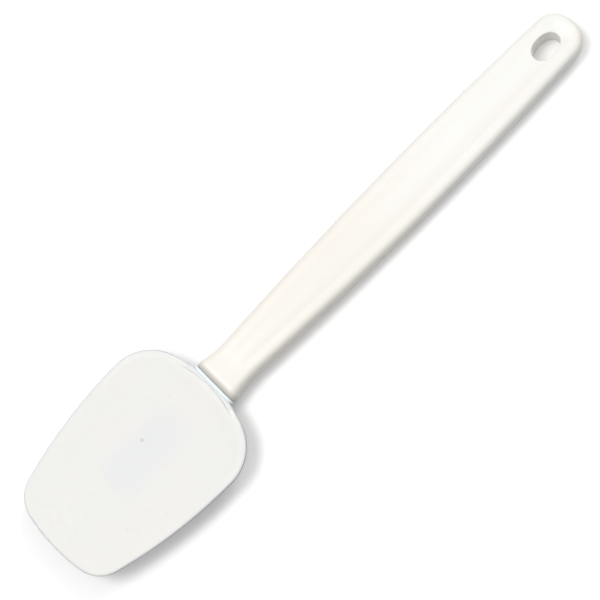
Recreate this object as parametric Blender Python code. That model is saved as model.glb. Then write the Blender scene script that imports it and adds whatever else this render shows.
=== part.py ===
"""A silicone spoon in three pieces: a moulded handle, a rigid core and a slip-on silicone head.

Units are metres. X runs along the spoon, with the butt of the handle at +X and the tip of
the head at -X. The bowl opens to +Z. The spoon lies on the plane z = 0, and the origin is
under the middle of its length.
"""
import math

import bmesh
import bpy

MM = 0.001

# Fits
FIT_GAP = 0.3 * MM  # between two pieces that seat in or on each other
POCKET_END_GAP = 0.6 * MM  # beyond the end of a shank or a paddle in its blind pocket
FILLET_LIMIT = 0.9  # the share of its wall that a corner's radius may take

# Heights above the plane that the spoon lies on
AXIS_HEIGHT = 6.8 * MM  # the core's axis, along which the head slides off

# Handle, measured along it from its mouth, where the core enters
HANDLE_LENGTH = 193.5 * MM
MOUTH_WIDTH = 20.9 * MM
MOUTH_THICKNESS = 12.2 * MM
LIP_LENGTH = 3.0 * MM  # the mouth's rounded lip, along the handle
LIP_DROP = 2.0 * MM  # how far the lip rolls down towards the core
NECK_FROM_MOUTH = 12.5 * MM
NECK_WIDTH = 17.6 * MM
NECK_THICKNESS = 10.4 * MM
FLARE_POWER = 1.8  # how late the flare opens on its way from the neck to the mouth
BELLY_FROM_BUTT = 82.5 * MM
BELLY_WIDTH = 23.9 * MM
GRIP_THICKNESS = 10.0 * MM
LEVEL_FROM_NECK = 87.5 * MM  # past here the grip lies flat
BUTT_WIDTH = 20.9 * MM
BUTT_ROUND_LENGTH = 10.0 * MM
BUTT_FLAT_WIDTH = 5.0 * MM  # the blunt middle of the round butt
BUTT_FLAT_INSET = 0.25 * MM  # how far inside its rounded edge the butt is cut blunt
BUTT_SQUARENESS = 2.3  # exponent of the superellipse that rounds the butt
EDGE_ROUND_WIDTH = 4.4 * MM  # the rounded long edges, seen from above
VALLEY_INSET = 5.4 * MM  # the shallow valley that runs inside the edge, all round the grip
VALLEY_WIDTH = 2.6 * MM
VALLEY_DEPTH = 0.12 * MM
PANEL_CROWN = 0.35 * MM  # swell of the upper face between the valleys

# Hanging hole
HOLE_FROM_BUTT = 13.8 * MM  # to its centre
HOLE_LENGTH = 12.4 * MM
HOLE_WIDTH = 8.6 * MM
HOLE_SQUARENESS = 2.2  # exponent of the superellipse that it is seen as from above
HOLE_DRAFT = 0.35 * MM  # how much wider each wall is at the faces than at the middle
HOLE_EDGE_RADIUS = 1.0 * MM

# Core
FLANGE_THICKNESS = 0.8 * MM
FLANGE_STEP = 0.2 * MM  # how far the flange stays inside the mouth's outline
FLANGE_CORNER_RADIUS = 2.4 * MM
SOCKET_WALL = 2.2 * MM  # plastic left round the shank at the handle's neck
SHANK_LENGTH = 40.0 * MM
SHANK_CORNER_RADIUS = 1.2 * MM
COLLAR_WALL = 1.4 * MM  # silicone left round the core's root at the head's collar
ROOT_LENGTH = 8.0 * MM  # the thick root tapers to the paddle over this length
PADDLE_THICKNESS = 3.2 * MM
PADDLE_END_ROUND = 5.0 * MM
PADDLE_END_TURN = math.radians(80)  # where the round end is cut blunt
PADDLE_CORNER_RADIUS = 1.2 * MM
RIB_WIDTH = 3.6 * MM  # the stiffening rib along the paddle's underside

# Head, measured along it from its tip
HEAD_LENGTH = 85.1 * MM
HEAD_WIDTH = 64.8 * MM
COLLAR_HEIGHT = 10.0 * MM
BACK_SWEEP = math.radians(14)  # how the straight back edges lean away from the handle
SHOULDER_RADIUS = 19.0 * MM
SIDE_RADIUS = 200.0 * MM
TIP_CORNER_RADIUS = 13.5 * MM
TIP_RADIUS = 62.0 * MM
TIP_FLAT_WIDTH = 8.0 * MM
FLEXIBLE_TIP_LENGTH = 29.4 * MM  # silicone beyond the end of the core's paddle
LIP_RADIUS = 0.9 * MM  # the rounded free edge of the silicone
BLADE_THICKNESS = 2.0 * MM
TIP_THICKNESS = 1.5 * MM
FLOOR_SKIN = 1.6 * MM  # silicone between the paddle and the bowl
BOWL_DEPTH = 1.0 * MM  # below the rim at the sides
BACK_DEPTH = 0.3 * MM  # below the crest at the back
TIP_RISE = 1.2 * MM  # of the tip above the bowl's floor
FLOOR_HALF_WIDTH = 8.0 * MM  # the flat middle of the bowl
FLOOR_RUN = 34.0 * MM  # the floor climbs to the tip over this length
RIM_RUN = 46.0 * MM  # the rim climbs from the tip over this length
BACK_RIM_RUN = 24.0 * MM  # the rim sinks from the sides to the back over this length
BACK_WALL_LENGTH = 10.0 * MM  # from the foot of the bowl's back wall to its crest
BACK_ROLL_LENGTH = 6.0 * MM  # from the crest down to the collar
SPINE_HALF_WIDTH = 5.0 * MM  # the flat bottom of the thick spine under the bowl
SPINE_FADE_WIDTH = 9.0 * MM  # the spine's flanks
SPINE_LEAD = 21.4 * MM  # the spine starts this far before the paddle's end
SPINE_RUN = 40.0 * MM  # and deepens over this length
SPINE_MOUTH_LENGTH = 14.0 * MM  # it widens and lifts to the collar over this length
SPINE_POINT_SHARE = 0.7  # the share of a narrow ring that the spine's points may take

# Lines that more than one piece shares
TOTAL_LENGTH = HANDLE_LENGTH + 2 * FIT_GAP + FLANGE_THICKNESS + HEAD_LENGTH
BUTT_X = TOTAL_LENGTH / 2
MOUTH_X = BUTT_X - HANDLE_LENGTH
FLANGE_X = MOUTH_X - FIT_GAP
ROOT_X = FLANGE_X - FLANGE_THICKNESS
COLLAR_X = ROOT_X - FIT_GAP
TIP_X = COLLAR_X - HEAD_LENGTH
PADDLE_END_X = TIP_X + FLEXIBLE_TIP_LENGTH
COLLAR_HALF_WIDTH = MOUTH_WIDTH / 2
COLLAR_HALF_HEIGHT = COLLAR_HEIGHT / 2
PADDLE_HALF_WIDTH = COLLAR_HALF_WIDTH - COLLAR_WALL - FIT_GAP
PADDLE_HALF_THICKNESS = PADDLE_THICKNESS / 2
ROOT_HALF_HEIGHT = COLLAR_HALF_HEIGHT - COLLAR_WALL - FIT_GAP
ROOT_FLAT_HALF_WIDTH = PADDLE_HALF_WIDTH - PADDLE_CORNER_RADIUS
PADDLE_LIFT = ROOT_HALF_HEIGHT - PADDLE_HALF_THICKNESS
FLOOR_HEIGHT = AXIS_HEIGHT + ROOT_HALF_HEIGHT + FIT_GAP + FLOOR_SKIN
RIM_HEIGHT = FLOOR_HEIGHT + BOWL_DEPTH
BACK_HEIGHT = FLOOR_HEIGHT + BACK_DEPTH
TIP_HEIGHT = FLOOR_HEIGHT + TIP_RISE
SPINE_START = FLEXIBLE_TIP_LENGTH - SPINE_LEAD


def ease(share):
    """Smooth step from 0 to 1 as share goes from 0 to 1, level at both ends."""
    share = min(max(share, 0.0), 1.0)
    return share * share * (3 - 2 * share)


def even_steps(start, end, count):
    """The values that divide start to end into count equal steps, both ends included."""
    return [start + (end - start) * k / count for k in range(count + 1)]


def plastic(name, colour, roughness):
    """A Principled material of one colour."""
    material = bpy.data.materials.new(name)
    material.use_nodes = True
    shader = material.node_tree.nodes["Principled BSDF"]
    shader.inputs["Base Color"].default_value = (*colour, 1.0)
    shader.inputs["Roughness"].default_value = roughness
    shader.inputs["Metallic"].default_value = 0.0
    material.diffuse_color = (*colour, 1.0)
    return material


def solid_from_rings(name, rings):
    """A closed solid whose skin runs through rings of equal, even point count.

    Each end is capped by strips between the first half of its ring and the second half.
    """
    bm = bmesh.new()
    loops = [[bm.verts.new(point) for point in ring] for ring in rings]
    count = len(rings[0])
    for near, far in zip(loops, loops[1:]):
        for k in range(count):
            after = (k + 1) % count
            bm.faces.new((near[k], near[after], far[after], far[k]))
    for cap in (loops[0], loops[-1]):
        for k in range(count // 2 - 1):
            bm.faces.new((cap[k], cap[k + 1], cap[count - 2 - k], cap[count - 1 - k]))
    bmesh.ops.triangulate(bm, faces=bm.faces)
    bmesh.ops.recalc_face_normals(bm, faces=bm.faces)
    mesh = bpy.data.meshes.new(name)
    bm.to_mesh(mesh)
    bm.free()
    piece = bpy.data.objects.new(name, mesh)
    bpy.context.scene.collection.objects.link(piece)
    return piece


def add_boolean(piece, other, operation):
    """Cuts other out of piece, or joins it on, and leaves other as a hidden guide."""
    modifier = piece.modifiers.new(other.name, "BOOLEAN")
    modifier.operation = operation
    modifier.solver = "EXACT"
    modifier.object = other
    other.hide_render = True
    other.display_type = "WIRE"


def finish(piece, material):
    """Gives a piece its material and smooth shading that keeps its real edges."""
    piece.data.materials.append(material)
    piece.data.shade_smooth()
    piece.data.set_sharp_from_angle(angle=math.radians(40))


def rounded_rectangle(half_width, half_height, radius, corner_steps=3):
    """(y, z) points round a rectangle whose corners are quarter circles."""
    radius = min(radius, FILLET_LIMIT * half_width, FILLET_LIMIT * half_height)
    points = []
    for quarter in range(4):
        sign_y = (1, -1, -1, 1)[quarter]
        sign_z = (1, 1, -1, -1)[quarter]
        for turn in even_steps(0.0, math.pi / 2, corner_steps):
            angle = turn + quarter * math.pi / 2
            y = sign_y * (half_width - radius) + radius * math.cos(angle)
            z = sign_z * (half_height - radius) + radius * math.sin(angle)
            points.append((y, z))
    return points


def oval(half_length, half_width, squareness, steps=32):
    """(x, y) points round a superellipse."""
    points = []
    for k in range(steps):
        angle = 2 * math.pi * k / steps
        cosine = math.cos(angle)
        sine = math.sin(angle)
        x = half_length * math.copysign(abs(cosine) ** (2 / squareness), cosine)
        y = half_width * math.copysign(abs(sine) ** (2 / squareness), sine)
        points.append((x, y))
    return points


def grip_half_width(s):
    """Half width of the handle at distance s from its mouth, before the butt is rounded.

    The mouth flares from the neck, the grip swells from the neck to the belly by a quarter
    sine, and draws in again to the butt by a parabola.
    """
    neck = NECK_WIDTH / 2
    belly = BELLY_WIDTH / 2
    belly_from_mouth = HANDLE_LENGTH - BELLY_FROM_BUTT
    if s < NECK_FROM_MOUTH:
        return neck + (MOUTH_WIDTH / 2 - neck) * (1 - s / NECK_FROM_MOUTH) ** FLARE_POWER
    if s < belly_from_mouth:
        share = (s - NECK_FROM_MOUTH) / (belly_from_mouth - NECK_FROM_MOUTH)
        return neck + (belly - neck) * math.sin(share * math.pi / 2)
    share = (s - belly_from_mouth) / (BELLY_FROM_BUTT - BUTT_ROUND_LENGTH)
    return belly - (belly - BUTT_WIDTH / 2) * share**2


def handle_half_width(s):
    """Half width of the handle at distance s from its mouth, with its rounded butt."""
    round_start = HANDLE_LENGTH - BUTT_ROUND_LENGTH
    if s <= round_start:
        return grip_half_width(s)
    share = min((s - round_start) / BUTT_ROUND_LENGTH, 1.0)
    rounded = (1 - share**BUTT_SQUARENESS) ** (1 / BUTT_SQUARENESS)
    return max(BUTT_WIDTH / 2 * rounded, BUTT_FLAT_WIDTH / 2)


def distance_from_edge(s, y):
    """How far a point of the handle's face lies inside its outline, seen from above."""
    round_start = HANDLE_LENGTH - BUTT_ROUND_LENGTH
    if s <= round_start:
        return handle_half_width(s) - abs(y)
    along = (s - round_start) / BUTT_ROUND_LENGTH
    across = abs(y) / (BUTT_WIDTH / 2)
    gauge = (along**BUTT_SQUARENESS + across**BUTT_SQUARENESS) ** (1 / BUTT_SQUARENESS)
    reach = math.hypot(s - round_start, y)
    return reach / gauge - reach


def handle_half_thickness(s):
    """Half thickness of the handle at distance s from its mouth, with the rolled lip."""
    mouth = MOUTH_THICKNESS / 2
    neck = NECK_THICKNESS / 2
    grip = GRIP_THICKNESS / 2
    if s < NECK_FROM_MOUTH:
        flare = neck + (mouth - neck) * (1 - ease(s / NECK_FROM_MOUTH))
        roll = max(1 - s / LIP_LENGTH, 0.0)
        return flare - LIP_DROP * (1 - math.sqrt(1 - roll**2))
    return neck + (grip - neck) * ease((s - NECK_FROM_MOUTH) / LEVEL_FROM_NECK)


def handle_axis_height(s):
    """Height of the handle's middle plane: on the core's axis at the mouth, lower at the grip."""
    level = ease((s - NECK_FROM_MOUTH) / LEVEL_FROM_NECK)
    return AXIS_HEIGHT + (GRIP_THICKNESS / 2 - AXIS_HEIGHT) * level


def handle_face_height(s, y, upper):
    """Height of the handle's upper or lower face above or below its middle plane.

    The long edges are quarter ellipses. Inside them runs a shallow valley, which fades out
    before the mouth, and the upper face swells gently between the valleys.
    """
    inset = max(distance_from_edge(s, y), BUTT_FLAT_INSET)
    edge_share = min(inset / EDGE_ROUND_WIDTH, 1.0)
    height = handle_half_thickness(s) * math.sqrt(1 - (1 - edge_share) ** 2)
    fade = ease((s - NECK_FROM_MOUTH / 2) / NECK_FROM_MOUTH)
    height -= fade * VALLEY_DEPTH * math.exp(-(((inset - VALLEY_INSET) / (VALLEY_WIDTH / 2)) ** 2))
    if upper:
        panel = max(inset - VALLEY_INSET, 0.0) / (BELLY_WIDTH / 2 - VALLEY_INSET)
        height += fade * PANEL_CROWN * math.sin(min(panel, 1.0) * math.pi / 2)
    return height


def handle_insets(half_width):
    """Distances in from a long edge where a ring has points, the last on the middle line.

    They are closest on the rounded edge, follow the valley, and close up where the butt
    narrows.
    """
    rounded = [EDGE_ROUND_WIDTH * (1 - math.cos(turn)) for turn in even_steps(0, math.pi / 2, 6)]
    valley = [VALLEY_INSET, VALLEY_INSET + VALLEY_WIDTH / 2]
    fit = min(half_width / (NECK_WIDTH / 2), 1.0)
    outer = [inset * fit for inset in rounded[1:] + valley]
    return outer + even_steps(outer[-1], half_width, 3)[1:]


def handle_ring(s):
    """Points round the handle at distance s from its mouth, from one long edge to the other."""
    half_width = handle_half_width(s)
    middle = handle_axis_height(s)
    half = [half_width - inset for inset in handle_insets(half_width)]
    across = half + [-y for y in reversed(half[:-1])]
    x = MOUTH_X + s
    ring = [(x, half_width, middle)]
    ring += [(x, y, middle + handle_face_height(s, y, upper=True)) for y in across]
    ring.append((x, -half_width, middle))
    ring += [(x, y, middle - handle_face_height(s, y, upper=False)) for y in reversed(across)]
    return ring


def handle_stations():
    """Distances from the mouth where the handle's skin has a ring, closer where it bends."""
    lip = [LIP_LENGTH * (1 - math.cos(angle)) for angle in even_steps(0, math.pi / 2, 5)]
    flare = even_steps(LIP_LENGTH, NECK_FROM_MOUTH, 6)
    round_start = HANDLE_LENGTH - BUTT_ROUND_LENGTH
    grip = even_steps(NECK_FROM_MOUTH, round_start, 24)
    butt = [
        round_start + BUTT_ROUND_LENGTH * math.sin(angle)
        for angle in even_steps(0, math.pi / 2, 9)
    ]
    return lip + flare[1:] + grip[1:] + butt[1:]


def shank_section(grow):
    """(y, z) points of the core's shank, or of its socket when grow is the gap round it."""
    half_width = NECK_WIDTH / 2 - SOCKET_WALL - FIT_GAP + grow
    half_height = NECK_THICKNESS / 2 - SOCKET_WALL - FIT_GAP + grow
    return rounded_rectangle(half_width, half_height, SHANK_CORNER_RADIUS + grow)


def rings_along_x(sections):
    """Turns (x, [(y, z), ...]) sections about the core's axis into rings of points."""
    return [[(x, y, AXIS_HEIGHT + z) for y, z in section] for x, section in sections]


def hole_cutter():
    """The hanging hole's space: narrowest at the middle, with rounded edges at both faces."""
    middle = GRIP_THICKNESS / 2
    wall_top = middle - HOLE_EDGE_RADIUS
    centre_x = BUTT_X - HOLE_FROM_BUTT
    levels = [0.0, wall_top]
    levels += [wall_top + HOLE_EDGE_RADIUS * math.sin(a) for a in even_steps(0, math.pi / 2, 4)[1:]]
    levels.append(middle + HOLE_EDGE_RADIUS)
    rings = []
    for level in [-height for height in reversed(levels[1:])] + levels:
        height = abs(level)
        past_wall = min(max(height - wall_top, 0.0) / HOLE_EDGE_RADIUS, 1.0)
        widening = HOLE_DRAFT * min(height / middle, 1.0)
        widening += HOLE_EDGE_RADIUS * (1 - math.sqrt(1 - past_wall**2))
        outline = oval(HOLE_LENGTH / 2 + widening, HOLE_WIDTH / 2 + widening, HOLE_SQUARENESS)
        rings.append([(centre_x + x, y, middle + level) for x, y in outline])
    return solid_from_rings("hole_cutter", rings)


def make_handle():
    """Handle: one moulding with a flared mouth, a blind socket for the shank and a hanging hole."""
    handle = solid_from_rings("handle", [handle_ring(s) for s in handle_stations()])
    socket = shank_section(FIT_GAP)
    socket_end = FLANGE_X + SHANK_LENGTH + POCKET_END_GAP
    sections = [(MOUTH_X - LIP_LENGTH, socket), (socket_end, socket)]
    add_boolean(handle, solid_from_rings("socket_cutter", rings_along_x(sections)), "DIFFERENCE")
    add_boolean(handle, hole_cutter(), "DIFFERENCE")
    finish(handle, plastic("handle_cream", (0.86, 0.83, 0.76), 0.35))


def lifted(section, height):
    """The (y, z) points of a section, moved up by a height."""
    return [(y, z + height) for y, z in section]


def paddle_sections(grow, end_gap):
    """Sections of the core from the flange to the paddle's round end, or of their pocket.

    The top is level all along, and the root tapers to the paddle from below. grow widens
    every section, and end_gap makes the far end that much longer.
    """
    root = (PADDLE_HALF_WIDTH + grow, ROOT_HALF_HEIGHT + grow)
    blade = (PADDLE_HALF_WIDTH + grow, PADDLE_HALF_THICKNESS + grow)
    radius = PADDLE_CORNER_RADIUS + grow
    sections = [(ROOT_X, rounded_rectangle(*root, radius))]
    start = lifted(rounded_rectangle(*blade, radius), PADDLE_LIFT)
    sections.append((ROOT_X - ROOT_LENGTH, start))
    for angle in even_steps(0, PADDLE_END_TURN, 5):
        x = PADDLE_END_X - end_gap
        x += PADDLE_END_ROUND * (1 - math.sin(angle) / math.sin(PADDLE_END_TURN))
        half_width = blade[0] - PADDLE_END_ROUND * (1 - math.cos(angle))
        section = rounded_rectangle(half_width, blade[1], radius)
        sections.append((x, lifted(section, PADDLE_LIFT)))
    return sections


def rib_solid(name, grow, end_gap):
    """The rib under the paddle, as deep as the root at the flange, fading to the paddle's end."""
    half_width = RIB_WIDTH / 2 + grow
    start = (ROOT_X + FLANGE_THICKNESS / 2, -ROOT_HALF_HEIGHT - grow)
    end_x = PADDLE_END_X + PADDLE_END_ROUND - end_gap
    end = (end_x, PADDLE_LIFT - PADDLE_HALF_THICKNESS / 2)
    sections = []
    for x, bottom in (start, end):
        top = PADDLE_LIFT
        corners = [(half_width, top), (-half_width, top), (-half_width, bottom), (half_width, bottom)]
        sections.append((x, corners))
    return solid_from_rings(name, rings_along_x(sections))


def make_core():
    """Core: a stiff insert with a shank in the handle, a thin flange and a paddle in the head."""
    shank = shank_section(0.0)
    flange = rounded_rectangle(
        MOUTH_WIDTH / 2 - FLANGE_STEP, MOUTH_THICKNESS / 2 - LIP_DROP, FLANGE_CORNER_RADIUS
    )
    sections = [
        (FLANGE_X + SHANK_LENGTH, shank),
        (FLANGE_X, shank),
        (FLANGE_X, flange),
        (ROOT_X, flange),
    ]
    sections += paddle_sections(0.0, 0.0)
    core = solid_from_rings("core", rings_along_x(sections))
    add_boolean(core, rib_solid("rib_guide", 0.0, 0.0), "UNION")
    finish(core, plastic("core_blue_white", (0.74, 0.82, 0.88), 0.4))


def arc(centre, radius, start, end, steps):
    """Points on an arc. An angle of 0 looks back to the collar, and 90 degrees looks sideways."""
    return [
        (centre[0] + radius * math.cos(angle), centre[1] + radius * math.sin(angle))
        for angle in even_steps(start, end, steps)
    ]


def head_outline():
    """(distance from the tip, half width) points, from the collar round one side to the tip.

    A straight back edge leaves the collar, and the shoulder's arc joins it to a long, slightly
    curved side. A corner arc joins that to the tip's flatter arc.
    """
    widest_shoulder = (HEAD_WIDTH / 2 - COLLAR_HALF_WIDTH) / (1 - math.sin(BACK_SWEEP))
    shoulder = min(SHOULDER_RADIUS, FILLET_LIMIT * widest_shoulder)
    beside = HEAD_WIDTH / 2 - shoulder
    lean = (beside - COLLAR_HALF_WIDTH) * math.sin(BACK_SWEEP)
    widest = HEAD_LENGTH - (shoulder + lean) / math.cos(BACK_SWEEP)
    side_centre = (widest, HEAD_WIDTH / 2 - SIDE_RADIUS)
    tip_centre = (TIP_RADIUS, 0.0)

    side_reach = SIDE_RADIUS - TIP_CORNER_RADIUS
    tip_reach = TIP_RADIUS - TIP_CORNER_RADIUS
    apart = (side_centre[0] - tip_centre[0], side_centre[1] - tip_centre[1])
    span = math.hypot(*apart)
    turn = math.acos((tip_reach**2 + span**2 - side_reach**2) / (2 * tip_reach * span))
    tip_bearing = math.atan2(apart[1], apart[0]) - turn
    corner = (
        tip_centre[0] + tip_reach * math.cos(tip_bearing),
        tip_centre[1] + tip_reach * math.sin(tip_bearing),
    )
    tip_angle = math.atan2(corner[1] - tip_centre[1], corner[0] - tip_centre[0])
    side_end = math.atan2(corner[1] - side_centre[1], corner[0] - side_centre[0])
    tip_end = math.pi - math.asin(TIP_FLAT_WIDTH / 2 / TIP_RADIUS)

    round_the_shoulder = arc((widest, beside), shoulder, BACK_SWEEP, math.pi / 2, 12)
    back_end = round_the_shoulder[0]
    outline = [
        (
            HEAD_LENGTH + (back_end[0] - HEAD_LENGTH) * share,
            COLLAR_HALF_WIDTH + (back_end[1] - COLLAR_HALF_WIDTH) * share,
        )
        for share in even_steps(0.0, 1.0, 4)[:-1]
    ]
    outline += round_the_shoulder
    outline += arc(side_centre, SIDE_RADIUS, math.pi / 2, side_end, 12)[1:]
    outline += arc(corner, TIP_CORNER_RADIUS, side_end, tip_angle, 8)[1:]
    outline += arc(tip_centre, TIP_RADIUS, tip_angle, tip_end, 6)[1:-1]
    outline.append((0.0, TIP_FLAT_WIDTH / 2))
    return outline


def rim_height(a):
    """Height of the bowl's rim at distance a from the tip, highest at the sides."""
    rising = (RIM_HEIGHT - TIP_HEIGHT) * ease(a / RIM_RUN)
    crest = HEAD_LENGTH - BACK_ROLL_LENGTH
    sinking = (RIM_HEIGHT - BACK_HEIGHT) * ease(1 - (crest - a) / BACK_RIM_RUN)
    return TIP_HEIGHT + rising - sinking


def floor_height(a):
    """Height of the bowl's flat middle at distance a from the tip, to which it climbs by a parabola."""
    return FLOOR_HEIGHT + TIP_RISE * max(1 - a / FLOOR_RUN, 0.0) ** 2


def blade_thickness(a):
    """Thickness of the silicone blade at distance a from the tip."""
    return TIP_THICKNESS + (BLADE_THICKNESS - TIP_THICKNESS) * ease(a / FLOOR_RUN)


def dish_height(a, y, half_width):
    """Height of the scoop's dish, level in the middle and rising to the rim by a parabola."""
    low = floor_height(a)
    side = max(abs(y) - FLOOR_HALF_WIDTH, 0.0) / max(half_width - FLOOR_HALF_WIDTH, MM)
    return low + (rim_height(a) - low) * min(side, 1.0) ** 2


def nose_drop(a):
    """How far the upper and the lower face draw in where the tip's edge is rounded."""
    nose = max(1 - a / LIP_RADIUS, 0.0)
    return FILLET_LIMIT * TIP_THICKNESS / 2 * (1 - math.sqrt(1 - nose**2))


def roll_drop(a):
    """How far the head rolls down, by a parabola, from the crest at the back to the collar's top."""
    roll = max(1 - (HEAD_LENGTH - a) / BACK_ROLL_LENGTH, 0.0) ** 2
    return (BACK_HEIGHT - AXIS_HEIGHT - COLLAR_HALF_HEIGHT) * roll


def top_height(a, y, half_width):
    """Height of the upper face: the dish, a low back wall up to the crest, and the roll."""
    dish = dish_height(a, y, half_width)
    wall_foot = HEAD_LENGTH - BACK_ROLL_LENGTH - BACK_WALL_LENGTH
    back_wall = (rim_height(a) - dish) * ease((a - wall_foot) / BACK_WALL_LENGTH)
    return dish + back_wall - roll_drop(a) - nose_drop(a)


def bottom_height(a, y, half_width):
    """Height of the underside: a thin blade with a thick spine along its middle.

    The spine lies flat on the plane z = 0 and fades towards the tip. Towards the collar it
    lifts, and its flat bottom widens to that of the core's root.
    """
    blade = dish_height(a, y, half_width) - blade_thickness(a) - roll_drop(a)
    mouth = ease(1 - (HEAD_LENGTH - a) / SPINE_MOUTH_LENGTH)
    spine = (AXIS_HEIGHT - COLLAR_HALF_HEIGHT) * mouth
    flat = SPINE_HALF_WIDTH + (ROOT_FLAT_HALF_WIDTH - SPINE_HALF_WIDTH) * mouth
    across = 1 - ease((abs(y) - flat) / SPINE_FADE_WIDTH)
    along = ease((a - SPINE_START) / SPINE_RUN)
    return blade + (spine - blade) * across * along + nose_drop(a)


def head_ring(a, half_width):
    """Points round the head at distance a from its tip: upper face, lip, lower face, lip."""
    x = TIP_X + a
    edge = half_width - LIP_RADIUS
    spine = min(SPINE_HALF_WIDTH + SPINE_FADE_WIDTH, SPINE_POINT_SHARE * edge)
    half = even_steps(0.0, spine, 6)
    half += [spine + (edge - spine) * math.sin(turn) for turn in even_steps(0, math.pi / 2, 6)[1:]]
    across = [y for y in reversed(half)] + [-y for y in half[1:]]
    top = [top_height(a, y, half_width) for y in across]
    bottom = [bottom_height(a, y, half_width) for y in across]
    radius = min(LIP_RADIUS, FILLET_LIMIT * (top[0] - bottom[0]) / 2)
    turns = even_steps(0, math.pi / 2, 2)[1:]
    lip = [(edge + LIP_RADIUS * math.sin(turn), radius * (1 - math.cos(turn))) for turn in turns]
    ring = [(x, y, z) for y, z in zip(across, top)]
    ring += [(x, -y, top[0] - drop) for y, drop in lip]
    ring += [(x, -y, bottom[0] + rise) for y, rise in reversed(lip)]
    ring += [(x, -y, z) for y, z in zip(across, bottom)]
    ring += [(x, y, bottom[0] + rise) for y, rise in lip]
    ring += [(x, y, top[0] - drop) for y, drop in reversed(lip)]
    return ring


def make_head():
    """Head: one silicone moulding, a shallow scoop with a blind pocket for the core's paddle."""
    head = solid_from_rings("head", [head_ring(a, half_width) for a, half_width in head_outline()])
    pocket = rings_along_x(paddle_sections(FIT_GAP, POCKET_END_GAP))
    add_boolean(head, solid_from_rings("pocket_cutter", pocket), "DIFFERENCE")
    add_boolean(head, rib_solid("rib_cutter", FIT_GAP, POCKET_END_GAP), "DIFFERENCE")
    finish(head, plastic("head_silicone", (0.82, 0.83, 0.79), 0.5))


for leftover in list(bpy.data.objects):
    bpy.data.objects.remove(leftover)
make_handle()
make_core()
make_head()
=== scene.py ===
import math

import bmesh
import bpy
import numpy as np
from mathutils import Matrix, Vector


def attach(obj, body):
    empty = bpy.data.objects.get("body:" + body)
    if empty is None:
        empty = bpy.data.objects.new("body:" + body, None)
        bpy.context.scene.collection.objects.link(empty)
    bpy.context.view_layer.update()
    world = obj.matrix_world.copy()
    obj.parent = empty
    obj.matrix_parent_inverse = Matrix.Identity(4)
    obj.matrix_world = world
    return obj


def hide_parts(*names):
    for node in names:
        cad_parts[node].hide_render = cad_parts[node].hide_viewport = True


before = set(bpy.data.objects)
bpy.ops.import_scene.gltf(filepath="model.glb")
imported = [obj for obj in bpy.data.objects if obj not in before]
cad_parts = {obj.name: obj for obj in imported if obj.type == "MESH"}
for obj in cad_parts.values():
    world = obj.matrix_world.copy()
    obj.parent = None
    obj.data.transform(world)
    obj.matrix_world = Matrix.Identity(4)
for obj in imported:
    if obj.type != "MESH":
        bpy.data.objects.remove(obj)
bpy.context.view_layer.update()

# A silicone spoon, put together in the order of the sections: the core, the handle that its
# shank goes into, and the head that slips over its paddle. Lengths are in metres, X runs from
# the tip of the head to the butt of the handle, and the bowl opens to +Z.

# Core
# The stiff insert of bluish-white plastic, one moulding. Its shank is bonded into the handle,
# its flange is the thin bluish line at the joint, and its paddle, with a rib under it, fills
# the pocket inside the head.
MM = 0.001
AXIS_HEIGHT = 6.8 * MM
FLANGE_END_X = -54.82 * MM
ROOT_X = -54.6 * MM
PADDLE_END_X = -110.6 * MM
ROOT_LENGTH = 8.0 * MM
ROOT_HALF_HEIGHT = 3.3 * MM
PADDLE_HALF_WIDTH = 8.75 * MM
PADDLE_HALF_THICKNESS = 1.6 * MM
PADDLE_CORNER_RADIUS = 1.2 * MM
PADDLE_CORNER_LIMIT = 0.95
PADDLE_END_ROUND = 5.0 * MM
PADDLE_NOSE_LENGTH = 0.8 * MM
PADDLE_NOSE_DROP = 0.7 * MM
RIB_START_X = -54.2 * MM
RIB_END_DEPTH = -0.9 * MM
RIB_POINTS = np.array((-1.95, -1.8, -1.65, -1.4, 0.0, 1.4, 1.65, 1.8, 1.95)) * MM
RIB_SHARES = np.array((0.0, 0.1, 0.85, 1.0, 1.0, 1.0, 0.85, 0.1, 0.0))
CORNER_STEPS = 8
ROOT_STATIONS = 9
BLADE_STATIONS = 30
END_STATIONS = 13
CAP_ROWS = 4
WELD = 0.001 * MM
SHARP_ANGLE = math.radians(35)

# Stations of the shank and the flange: x, half width, half height and corner radius, in mm.
SHANK_AND_FLANGE = np.array((
    (-13.80, 5.90, 2.30, 1.00),
    (-13.92, 6.18, 2.58, 1.12),
    (-14.20, 6.30, 2.70, 1.20),
    (-53.58, 6.30, 2.70, 1.20),
    (-53.58, 10.10, 3.97, 2.30),
    (-53.64, 10.21, 4.07, 2.39),
    (-53.74, 10.25, 4.10, 2.40),
    (-54.76, 10.25, 4.10, 2.40),
    (-54.80, 10.24, 4.09, 2.39),
    (-54.82, 10.20, 4.05, 2.36),
)) * MM


def ease(share):
    """Smooth step: three times the square of the share less twice its cube, held in 0 to 1."""
    share = np.clip(share, 0.0, 1.0)
    return share * share * (3 - 2 * share)


def add_object(name, data):
    """A new object in the scene that shows a mesh, a lamp or a camera."""
    made = bpy.data.objects.new(name, data)
    bpy.context.scene.collection.objects.link(made)
    return made


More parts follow.
